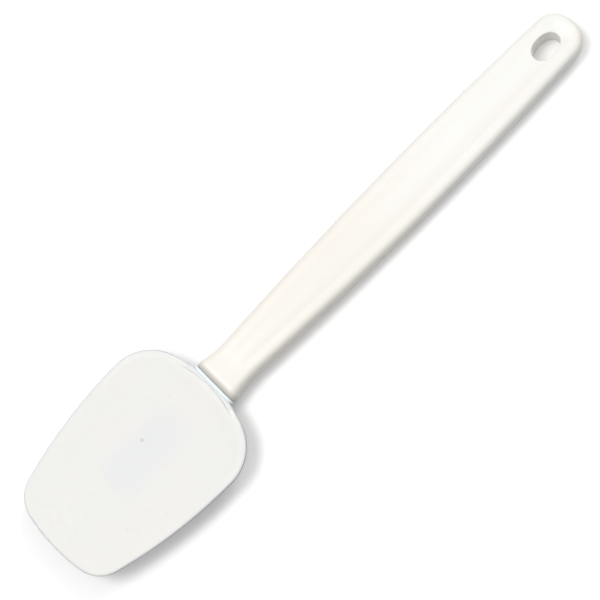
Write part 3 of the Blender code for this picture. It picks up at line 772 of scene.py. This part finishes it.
def head_outline():
    """Half the outline, as distance from the tip and half width, in two lines.

    The first runs from the collar along the straight back edge, the shoulder's arc and the
    side's long arc to the middle of the tip corner's arc, and the second on round the flat
    arc of the tip to the middle line. Neighbouring arcs touch where their centres line up.
    """
    side_centre = (widest, HEAD_HALF_WIDTH - SIDE_RADIUS)
    tip_centre = (TIP_RADIUS, 0.0)
    side_reach = SIDE_RADIUS - TIP_CORNER_RADIUS
    tip_reach = TIP_RADIUS - TIP_CORNER_RADIUS
    apart = (side_centre[0] - tip_centre[0], side_centre[1] - tip_centre[1])
    span = math.hypot(*apart)
    turn = math.acos((tip_reach**2 + span**2 - side_reach**2) / (2 * tip_reach * span))
    tip_end = math.atan2(apart[1], apart[0]) - turn
    corner = (tip_reach * math.cos(tip_end) + tip_centre[0], tip_reach * math.sin(tip_end))
    side_end = math.atan2(corner[1] - side_centre[1], corner[0] - side_centre[0])
    tip_turn = tip_end % (2 * math.pi)
    square = math.pi / 2
    half_way = (side_end + tip_turn) / 2
    shoulder_centre = (widest, beside_shoulder)
    shoulder = head_arc(shoulder_centre, SHOULDER_RADIUS, BACK_SWEEP, square, LONG_ARC_STEPS)
    back = np.linspace((HEAD_LENGTH, COLLAR_HALF_WIDTH), shoulder[0], SHORT_ARC_STEPS)
    side = head_arc(side_centre, SIDE_RADIUS, square, side_end, LONG_ARC_STEPS)
    corner_start = head_arc(corner, TIP_CORNER_RADIUS, side_end, half_way, SHORT_ARC_STEPS)
    corner_end = head_arc(corner, TIP_CORNER_RADIUS, half_way, tip_turn, SHORT_ARC_STEPS)
    tip = head_arc(tip_centre, TIP_RADIUS, tip_turn, math.pi, SHORT_ARC_STEPS)
    first = np.concatenate((back, shoulder[1:], side[1:], corner_start[1:]))
    return first, np.concatenate((corner_end, tip[1:]))


def outward(line):
    """Unit directions square to a line, away from the middle of the head."""
    run = np.gradient(line, axis=0)
    run /= np.hypot(run[:, 0], run[:, 1])[:, None]
    return np.stack((run[:, 1], -run[:, 0]), axis=-1)


outline_side, outline_tip = head_outline()
side_line = even_points(outline_side, SIDE_STEPS)
half_tip = even_points(outline_tip, ACROSS_STEPS // 2)
tip_line = np.concatenate((half_tip, half_tip[-2::-1] * (1, -1)))
whole_line = np.concatenate((side_line[:-1], tip_line, side_line[-2::-1] * (1, -1)))
lip_way = outward(whole_line)
lip_way *= np.sign((lip_way * (whole_line - (widest, 0.0))).sum(axis=1))[:, None]
from_corner = np.hypot(*(np.abs(whole_line) - (HEAD_LENGTH, COLLAR_HALF_WIDTH)).T)
turned = ease(from_corner / CORNER_TURN_LENGTH)[:, None]
sideways = np.stack((np.zeros(len(whole_line)), np.sign(whole_line[:, 1])), axis=-1)
lip_way = sideways * (1 - turned) + lip_way * turned
lip_way /= np.hypot(lip_way[:, 0], lip_way[:, 1])[:, None]
lip_growth = (LIP_RADIUS - CORNER_LIP_RADIUS) * ease(from_corner / CORNER_LIP_LENGTH)
lip_radius = CORNER_LIP_RADIUS + lip_growth
inner_line = whole_line - lip_radius[:, None] * lip_way


def plan_grid():
    """Plan of the head inside its lip: a Coons patch between collar, sides and tip.

    It is the sum of the straight blends between the two sides and between the collar and the
    tip, less the blend of the four corners.
    """
    left = inner_line[:SIDE_STEPS + 1]
    tip = inner_line[SIDE_STEPS:SIDE_STEPS + ACROSS_STEPS + 1]
    right = inner_line[SIDE_STEPS + ACROSS_STEPS:][::-1]
    u = np.linspace(0, 1, ACROSS_STEPS + 1)[None, :, None]
    v = np.linspace(0, 1, SIDE_STEPS + 1)[:, None, None]
    collar = left[0] * (1 - u[0]) + right[0] * u[0]
    sides = left[:, None] * (1 - u) + right[:, None] * u
    ends = collar[None] * (1 - v) + tip[None] * v
    corners = collar[None] * (1 - v) + (tip[0] * (1 - u) + tip[-1] * u) * v
    return sides + ends - corners


def edge_distance(a, y):
    """Distance in from the back and side edges, and how squarely the edge faces the handle.

    Beside the straight back edge it is the distance to its line, and round the shoulder and
    along the side it is the arc's radius less the distance to the arc's centre. Near the
    collar it blends with the distance to the collar's end by a smooth minimum.
    """
    along = a - widest
    across = np.abs(y) - beside_shoulder
    bearing = np.arctan2(across, along)
    straight = SHOULDER_RADIUS - along * math.cos(BACK_SWEEP) - across * math.sin(BACK_SWEEP)
    rounded = SHOULDER_RADIUS - np.hypot(along, across)
    side = SIDE_RADIUS - np.hypot(along, np.abs(y) + SIDE_RADIUS - HEAD_HALF_WIDTH)
    past = (bearing > BACK_SWEEP) & (across > 0)
    edge = np.where(along < 0, side, np.where(past, rounded, straight))
    collar = HEAD_LENGTH - a
    near = np.clip(1 - np.abs(edge - collar) / BACK_BLEND, 0, 1)
    distance = np.minimum(edge, collar) - near**2 * BACK_BLEND / 4
    facing = np.where(past, np.clip(np.cos(bearing), 0, 1), math.cos(BACK_SWEEP))
    facing = np.where(along < 0, 0.0, facing)
    return np.maximum(distance, 0.0), ease(facing / BACK_FADE)


def head_heights(a, y):
    """Heights of the upper face and of the underside at a distance from the tip and across.

    The dish is level in the middle, rises to the tip and to the rim by parabolas, and eases
    up behind to a low crest. From the crest and along the sides the face rolls down to the
    edge by a parabola. A ledge beside the core widens to both sides and fades out there. The
    underside is a blade of even thickness with a flat spine.
    """
    half_width = np.interp(-a, -outline_side[:, 0], outline_side[:, 1])
    crest = HEAD_LENGTH - ROLL_LENGTH
    rim = TIP_HEIGHT + (RIM_HEIGHT - TIP_HEIGHT) * ease(a / RIM_RUN)
    rim = rim - (RIM_HEIGHT - BACK_HEIGHT) * ease(1 - (crest - a) / BACK_RIM_RUN)
    low = FLOOR_HEIGHT + (TIP_HEIGHT - FLOOR_HEIGHT) * np.clip(1 - a / FLOOR_RUN, 0, 1) ** 2
    side = np.clip(np.abs(y) - FLOOR_HALF_WIDTH, 0, None)
    side = np.minimum(side / np.maximum(half_width - FLOOR_HALF_WIDTH, MM), 1.0) ** 2
    distance, facing = edge_distance(a, y)
    wall = ease(1 - (distance - ROLL_LENGTH) / BACK_WALL_LENGTH) * facing
    roll = SIDE_ROLL * ease((a - SIDE_ROLL_START) / SIDE_ROLL_RUN)
    roll = roll + (BACK_ROLL - SIDE_ROLL) * facing
    roll = roll * np.clip(1 - distance / ROLL_LENGTH, 0, 1) ** 2
    ledge_start = HEAD_LENGTH - LEDGE_LENGTH - LEDGE_WIDENING * (y / COLLAR_HALF_WIDTH) ** 2
    fade = ease((LEDGE_FADE[1] - np.abs(y)) / (LEDGE_FADE[1] - LEDGE_FADE[0]))
    ledge = LEDGE_DROP * fade * ease((a - ledge_start + LEDGE_STEP) / LEDGE_STEP)
    upper = low + (rim - low) * (side + (1 - side) * wall) - roll - ledge
    thickness = TIP_THICKNESS + (BLADE_THICKNESS - TIP_THICKNESS) * ease(a / FLOOR_RUN)
    blade = low + (rim - low) * side - thickness - roll
    mouth = ease(1 - (HEAD_LENGTH - a) / SPINE_MOUTH_LENGTH)
    flat = SPINE_HALF_WIDTH + (ROOT_FLAT_HALF_WIDTH - SPINE_HALF_WIDTH) * mouth
    spine = 1 - ease((np.abs(y) - flat) / SPINE_FADE_WIDTH)
    spine = spine * ease((a - SPINE_START) / SPINE_RUN)
    lower = blade + ((AXIS_HEIGHT - COLLAR_HALF_HEIGHT) * mouth - blade) * spine
    return upper, lower


def head_point(plan, height):
    """Points in the spoon's own frame from plan points, measured from the tip, and heights."""
    return as_points(TIP_X + plan[..., 0], plan[..., 1], height)


def lip_rows(upper, lower):
    """The rounded free edge, from the upper face round to the underside.

    Each half is a quarter ellipse: it stands out by the lip's radius times the sine of the
    turn, and drops by its height times one less the cosine.
    """
    turn = np.linspace(0, math.pi / 2, LIP_STEPS + 1)[:, None]
    height = np.minimum(lip_radius, (upper - lower) / 2)
    out = (lip_radius * np.sin(turn))[:, :, None]
    plan = inner_line + out * lip_way
    top = head_point(plan, upper - height * (1 - np.cos(turn)))
    bottom = head_point(plan, lower + height * (1 - np.cos(turn)))
    return np.concatenate((top, bottom[::-1]))


def pocket_rings(collar):
    """The collar's flat end and the blind pocket, the collar's own ring made smaller.

    Every ring keeps a gap to the core's root, paddle and round end, rises with the paddle's
    middle, and its bottom drops by a groove for the rib.
    """
    stations = paddle_stations()
    x, half_width, half_height, _, middle = np.vstack((stations[:1], stations)).T[..., None]
    x = np.minimum(x, COLLAR_X)
    x[-END_STATIONS:] -= POCKET_END_GAP
    half_width = half_width + FIT_GAP
    half_height = np.maximum(half_height, PADDLE_HALF_THICKNESS) + FIT_GAP
    y = collar[:, 1] * (half_width / COLLAR_HALF_WIDTH)
    z = (collar[:, 2] - AXIS_HEIGHT) * (half_height / COLLAR_HALF_HEIGHT)
    deep = np.maximum(rib_depth(x) + FIT_GAP - half_height + middle, 0.0)
    groove = 1 - ease((np.abs(y) - GROOVE_HALF_WIDTH) / GROOVE_SIDE)
    under = (z < -GROOVE_FROM * half_height) & (x < COLLAR_X)
    rings = as_points(x, y, AXIS_HEIGHT + middle + (z - np.where(under, deep * groove, 0.0)))
    share = np.linspace(0, 1, COLLAR_ROWS + 1)[:-1, None, None]
    return np.concatenate((collar + (rings[0] - collar) * share, rings))


head_plan = plan_grid()
head_upper, head_lower = head_heights(head_plan[..., 0], head_plan[..., 1])
edge_upper, edge_lower = head_heights(inner_line[:, 0], inner_line[:, 1])
head_top = head_point(head_plan, head_upper)
head_bottom = head_point(head_plan, head_lower)
head_lip = lip_rows(edge_upper, edge_lower)
collar_ring = np.concatenate((
    head_top[0], head_lip[1:-1, -1], head_bottom[0, ::-1], head_lip[-2:0:-1, 0],
))
head_pocket = pocket_rings(collar_ring)
head = make_piece("head_scoop", [
    (head_top, False),
    (head_bottom, False),
    (head_lip, False),
    (head_pocket, True),
    (cap_to_centre(head_pocket[-1]), True),
])

HEAD_WHITE = (0.812, 0.82, 0.783)
HEAD_WARM = (0.828, 0.815, 0.78)
HEAD_MOTTLE = (0.85, 0.825, 0.80)
MOTTLE_NOISE = (520.0, 4.0, 0.6)
MOTTLE_SPAN = (0.45, 0.65, 0.0, 0.4)
PADDLE_TINT = (0.79, 0.793, 0.80)
SHOWN_X = (-108.0 * MM, -69.0 * MM)
SHOWN_Z = (FLOOR_HEIGHT - 1.5 * MM, FLOOR_HEIGHT - 1.0 * MM)
SHOWN_ROUND = 5.0 * MM
SHOWN_EDGE = (SHOWN_ROUND - 3.5 * MM, SHOWN_ROUND + 5.0 * MM, 1.0, 0.0)
SHOWN_RAGGED = 3.0 * MM
RAGGED_NOISE = (300.0, 3.0, 0.5)
SHOWN_FADE = (-86.0 * MM, SHOWN_X[1], 1.0, 0.4)
HEAD_SCUFFED = (0.90, 0.90, 0.86)
SCUFFED_PLACE = (-131.5 * MM, 4.5 * MM, 0.0)
SCUFFED_REACH = (4.0 * MM, 11.0 * MM, 1.0, 0.0)
SCUFFED_NOISE = (420.0, 4.0, 0.7)
SCUFFED_SPAN = (0.5, 0.68, 0.0, 0.45)
# Painted highlight: a paler band along the rolled rim, stronger away from the tip.
RIM_HIGHLIGHT = (0.885, 0.895, 0.865)
RIM_SHARE = 0.9
RIM_WIDTH = 4.5 * MM
RIM_FROM = (35.0 * MM, 70.0 * MM)
RIM_ELSEWHERE = 0.35
# The ledge by the collar: bluish where the core's root shows through, and darker by painted shade
# in the step beside the crevice.
LEDGE_SHOWN_AND_SHADE = (0.785, 0.79, 0.805)
LEDGE_MIDDLE = BACK_HEIGHT - BACK_ROLL - LEDGE_DROP / 2
LEDGE_TINT_Z = (LEDGE_MIDDLE + 0.1 * MM, LEDGE_MIDDLE - 0.1 * MM)
LEDGE_TINT_X = (COLLAR_X - 3.2 * MM, COLLAR_X - 2.6 * MM)
# Painted shade: the thin free edges are cooler and darker, darkest at the very edge.
EDGE_SHADE = (0.775, 0.775, 0.785)
EDGE_SHADE_WIDTH = 2.2 * MM
UNTINTED_LENGTH = 1.5 * ROLL_LENGTH
EDGE_DARKEST_SHADE = (0.50, 0.49, 0.56)
EDGE_DARKEST_SPAN = (0.7, 0.95, 0.0, 0.8)
HEAD_SPECK = (0.45, 0.44, 0.40)
HEAD_GRAIN = {"Grain Scale": 1900.0, "Swell": 0.8}
HEAD_WEAR = {"Scuffs": 0.8}
HEAD_ROUGHNESS = (0.44, 0.56, 0.15)
HEAD_BUMP = (0.03 * MM, 0.5)
SEEN_FROM_ABOVE = (1.0, 1.0, 0.0)

# Dark specks moulded into the bowl: x, y and radius in mm, and how dark each one is.
SPECKS = (
    (-88.0, 4.0, 0.85, 0.5),
    (-68.9, 8.5, 0.6, 0.1),
    (-124.2, 20.7, 0.5, 0.14),
    (-80.8, 25.0, 0.5, 0.12),
    (-115.3, -16.6, 0.6, 0.16),
    (-112.7, -20.0, 0.5, 0.12),
    (-100.3, -22.9, 0.5, 0.12),
    (-103.8, -17.6, 0.5, 0.12),
    (-130.3, -3.2, 0.6, 0.14),
)


def paddle_mask(tree, place):
    """Where the core's paddle shows through the floor of the bowl, with a ragged soft edge.

    It is the distance outside a rounded rectangle, mapped to a share that is held to the
    upper side of the bowl's floor and fades towards the handle.
    """
    low, high = SHOWN_X
    centre = ((low + high) / 2, 0.0, 0.0)
    half = ((high - low) / 2 - SHOWN_ROUND, PADDLE_HALF_WIDTH - SHOWN_ROUND, 1.0)
    folded = vector_node(tree, "ABSOLUTE", vector_node(tree, "SUBTRACT", place, centre))
    past = vector_node(tree, "MAXIMUM", vector_node(tree, "SUBTRACT", folded, half))
    ragged = noise_node(tree, place, *RAGGED_NOISE)
    ragged = math_node(tree, "MULTIPLY", ragged, SHOWN_RAGGED)
    outside = math_node(tree, "ADD", vector_node(tree, "LENGTH", past), ragged)
    where = add_node(tree, "ShaderNodeSeparateXYZ", {0: place}).outputs
    above = span_node(tree, where["Z"], *SHOWN_Z)
    shown = math_node(tree, "MULTIPLY", above, span_node(tree, where["X"], *SHOWN_FADE))
    return math_node(tree, "MULTIPLY", span_node(tree, outside, *SHOWN_EDGE), shown)


def scuffed_mask(tree, place):
    """Pale rubbed marks in ragged patches round one place near the tip."""
    flat = vector_node(tree, "MULTIPLY", place, SEEN_FROM_ABOVE)
    away = vector_node(tree, "DISTANCE", flat, SCUFFED_PLACE)
    marks = span_node(tree, noise_node(tree, place, *SCUFFED_NOISE), *SCUFFED_SPAN)
    return math_node(tree, "MULTIPLY", marks, span_node(tree, away, *SCUFFED_REACH))


def speck_mask(tree, place):
    """The dark specks, each fading out over the outer half of its radius."""
    flat = vector_node(tree, "MULTIPLY", place, SEEN_FROM_ABOVE)
    mask = 0.0
    for x, y, radius, dark in SPECKS:
        away = vector_node(tree, "DISTANCE", flat, (x * MM, y * MM, 0.0))
        spot = span_node(tree, away, radius * MM / 2, radius * MM, dark, 0.0)
        mask = math_node(tree, "MAXIMUM", spot, mask)
    return mask


def store_edge_shares(piece):
    """Stores on each point how near it is to the free edge, and how much painted highlight its
    rim gets.

    The nearness is one less the distance in from the back, side or tip edge over the painted
    edge shade's width, squared, and nothing beside the collar. The highlight is the same over
    the rim's width, times a share that grows with the distance from the tip, smoothed.
    """
    points = np.empty(len(piece.data.vertices) * 3)
    piece.data.vertices.foreach_get("co", points)
    a = points[0::3] - TIP_X
    y = points[1::3]
    edge = edge_distance(a, y)[0]
    tip = a - TIP_RADIUS + np.sqrt(TIP_RADIUS**2 - y**2)
    collar = (HEAD_LENGTH - a < UNTINTED_LENGTH) & (np.abs(y) < SHOULDER_RADIUS)
    tinted = np.where(collar, HEAD_LENGTH, edge)
    nearness = np.clip(1 - np.minimum(tinted, tip) / EDGE_SHADE_WIDTH, 0, 1) ** 2
    growth = np.clip((a - RIM_FROM[0]) / (RIM_FROM[1] - RIM_FROM[0]), RIM_ELSEWHERE, 1)
    highlight = ease(np.clip(1 - np.minimum(edge, tip) / RIM_WIDTH, 0, 1) * growth)
    for name, values in (("edge_nearness", nearness), ("rim_highlight", highlight)):
        stored = piece.data.attributes.new(name, "FLOAT", "POINT")
        stored.data.foreach_set("value", values)


def make_head_material():
    """White silicone: warm and cool clouds, the paddle's tint, soft sheen, specks and scuffs.

    Its rim is paler by a painted highlight. On its thin ledge by the collar it is bluish, where
    the core's root shows through, and darker by painted shade in the step. Its thin edges are
    cooler and darker by painted shade, darkest at the very edge.
    """
    material, tree, shader, place = new_material("head_soft_silicone")
    grain = add_group(tree, mould_grain, place, HEAD_GRAIN)
    wear = add_group(tree, light_wear, place, HEAD_WEAR)
    mottle = span_node(tree, noise_node(tree, place, *MOTTLE_NOISE), *MOTTLE_SPAN)
    rim = add_node(tree, "ShaderNodeAttribute", attribute_name="rim_highlight").outputs["Fac"]
    near = add_node(tree, "ShaderNodeAttribute", attribute_name="edge_nearness").outputs["Fac"]
    where = add_node(tree, "ShaderNodeSeparateXYZ", {0: place}).outputs
    # Core showing through the ledge, with painted shade in its step.
    thin = span_node(tree, where["Z"], *LEDGE_TINT_Z)
    thin = math_node(tree, "MULTIPLY", thin, span_node(tree, where["X"], *LEDGE_TINT_X))
    colour = mix_node(tree, grain["Cloud"], HEAD_WHITE, HEAD_WARM)
    for share, tint in (
        (mottle, HEAD_MOTTLE),
        (paddle_mask(tree, place), PADDLE_TINT),
        (scuffed_mask(tree, place), HEAD_SCUFFED),
        # Painted highlight along the rolled rim.
        (math_node(tree, "MULTIPLY", rim, RIM_SHARE), RIM_HIGHLIGHT),
        (thin, LEDGE_SHOWN_AND_SHADE),
        # Painted shade along the thin free edges, darkest at the very edge.
        (near, EDGE_SHADE),
        (span_node(tree, near, *EDGE_DARKEST_SPAN), EDGE_DARKEST_SHADE),
        (speck_mask(tree, place), HEAD_SPECK),
    ):
        colour = mix_node(tree, share, colour, tint)
    rough, height = worn_surface(tree, grain, wear, *HEAD_ROUGHNESS)
    link_surface(tree, shader, colour, rough, height, HEAD_BUMP)
    return material


store_edge_shares(head)
head.data.materials.append(make_head_material())
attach(head, "scoop")
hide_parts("head")

# Floor
# A plain white sheet that the spoon lies on. It isn't part of the object. The camera sees it
# white where no shadow falls, and it throws less light back up at the spoon than it shows.
FLOOR_HALF_SIZE = 4.0
FLOOR_WHITE = (0.95, 0.95, 0.95)
FLOOR_BOUNCE = (0.48, 0.48, 0.48)
FLOOR_GLOW = 0.16

floor_signs = ((-1, -1), (1, -1), (1, 1), (-1, 1))
floor_corners = [(x * FLOOR_HALF_SIZE, y * FLOOR_HALF_SIZE, 0.0) for x, y in floor_signs]
floor_mesh = bpy.data.meshes.new("floor")
floor_mesh.from_pydata(floor_corners, [], [(0, 1, 2, 3)])
floor = add_object("floor", floor_mesh)
floor_material = bpy.data.materials.new("floor_white")
floor_material.use_nodes = True
floor_tree = floor_material.node_tree
floor_tree.nodes.remove(floor_tree.nodes["Principled BSDF"])
rays = floor_tree.nodes.new("ShaderNodeLightPath").outputs
seen = math_node(floor_tree, "MAXIMUM", rays["Is Camera Ray"], rays["Is Glossy Ray"])
floor_colour = mix_node(floor_tree, seen, FLOOR_BOUNCE, FLOOR_WHITE)
paper = add_node(floor_tree, "ShaderNodeBsdfDiffuse", {"Color": floor_colour})
glow_level = math_node(floor_tree, "MULTIPLY", seen, FLOOR_GLOW)
glow = add_node(floor_tree, "ShaderNodeEmission", {"Strength": glow_level})
both = add_node(floor_tree, "ShaderNodeAddShader", {0: paper.outputs[0], 1: glow.outputs[0]})
set_inputs(floor_tree, floor_tree.nodes["Material Output"], {"Surface": both.outputs[0]})
floor.data.materials.append(floor_material)

# Light and camera
# A white room, darker near the horizon, with a wide lamp overhead, a soft key lamp high on the
# picture's left and a weaker one beyond its top right. The camera looks down on the spoon, a
# little from its own -Y side, and +X points up to the right in its picture.
TILT = math.radians(14.5)
CAMERA_DISTANCE = 0.8
LENS = 126.2
SENSOR = 36.0
CLIP_START = 0.05
TURN = math.radians(45.45)
AIM_RIGHT = -5.73 * MM
AIM_UP = -6.05 * MM
MIDDLE = Vector((0.0, 0.0, 6.5 * MM))
ROOM_WHITE = (1.0, 1.0, 1.0, 1.0)
ROOM_LEVEL = 0.395
HORIZON_SHARE = 0.4
ROOM_SPAN = (0.0, 0.5, HORIZON_SHARE * ROOM_LEVEL, ROOM_LEVEL)

# Lamps: name, turn and elevation in degrees, distance and size in metres, and level.
LAMPS = (
    ("overhead_lamp", 180, 88, 1.5, 2.0, 0.215),
    ("key_lamp", 180, 71, 3.0, 1.2, 0.38),
    ("back_lamp", 55, 42, 3.0, 1.2, 0.16),
)

back = Vector((0.0, -math.sin(TILT), math.cos(TILT)))
along = Vector((1.0, 0.0, 0.0))
aside = back.cross(along)
right = math.cos(TURN) * along - math.sin(TURN) * aside
up = math.sin(TURN) * along + math.cos(TURN) * aside
aim = MIDDLE + AIM_RIGHT * right + AIM_UP * up
camera_data = bpy.data.cameras.new("camera")
camera_data.lens = LENS
camera_data.sensor_width = SENSOR
camera_data.clip_start = CLIP_START
camera = add_object("camera", camera_data)
facing = Matrix((right, up, back)).transposed().to_4x4()
camera.matrix_world = Matrix.Translation(aim + CAMERA_DISTANCE * back) @ facing
bpy.context.scene.camera = camera


def add_lamp(name, turn, elevation, distance, size, level):
    """A square lamp aimed at the spoon, whose level is what a white floor under it shows.

    turn is its bearing in the camera's picture, from the right and anticlockwise.
    """
    flat = right * math.cos(turn) + up * math.sin(turn)
    flat.z = 0.0
    flat.normalize()
    way = flat * math.cos(elevation) + Vector((0, 0, 1)) * math.sin(elevation)
    lamp_data = bpy.data.lights.new(name, "AREA")
    lamp_data.size = size
    lamp_data.energy = level * math.pi**2 * distance**2 / math.sin(elevation)
    aimed = way.to_track_quat("Z", "Y").to_matrix().to_4x4()
    add_object(name, lamp_data).matrix_world = Matrix.Translation(way * distance) @ aimed


for name, turn, elevation, distance, size, level in LAMPS:
    add_lamp(name, math.radians(turn), math.radians(elevation), distance, size, level)
world = bpy.data.worlds.new("white_room")
world.use_nodes = True
room = world.node_tree
wall_way = add_node(room, "ShaderNodeTexCoord").outputs["Generated"]
wall_height = add_node(room, "ShaderNodeSeparateXYZ", {0: wall_way}).outputs["Z"]
wall_level = span_node(room, wall_height, *ROOM_SPAN)
set_inputs(room, room.nodes["Background"], {"Color": ROOM_WHITE, "Strength": wall_level})
bpy.context.scene.world = world
bpy.context.scene.view_settings.view_transform = "Standard"
